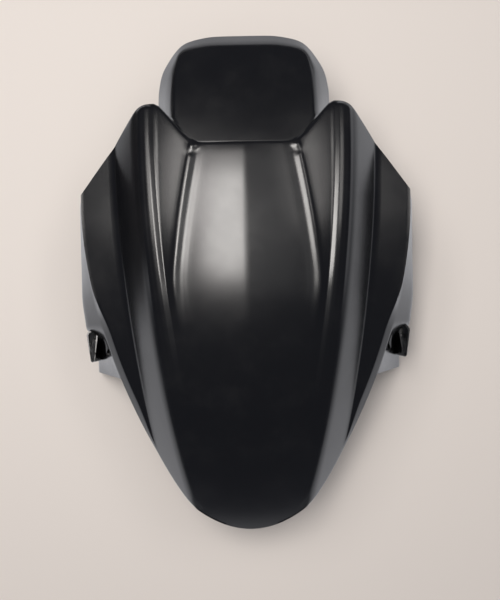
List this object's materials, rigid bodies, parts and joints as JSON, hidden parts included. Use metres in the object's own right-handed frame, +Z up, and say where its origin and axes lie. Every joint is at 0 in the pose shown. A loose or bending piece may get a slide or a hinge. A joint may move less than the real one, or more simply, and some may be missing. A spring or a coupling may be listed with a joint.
{
  "type": "motorcycle front mudguard",
  "caption": "One-piece moulded front mudguard with a ribbed arch, side wings, two fork covers with bolt holes and hose guides, and a stepped-down tail.",
  "frame": {"origin": "on the floor under the middle of the part's length and width, as it stands on its two fork covers", "axes": "+X to the rider's right when +Y points to the rear of the motorcycle, +Y to the rear, +Z up"},
  "size_m": [0.319, 0.466, 0.1749],
  "materials": {
    "moulding": "satin black injection moulding"
  },
  "bodies": {
    "root": {"mudguard": "moulding"}
  },
  "joints": []
}
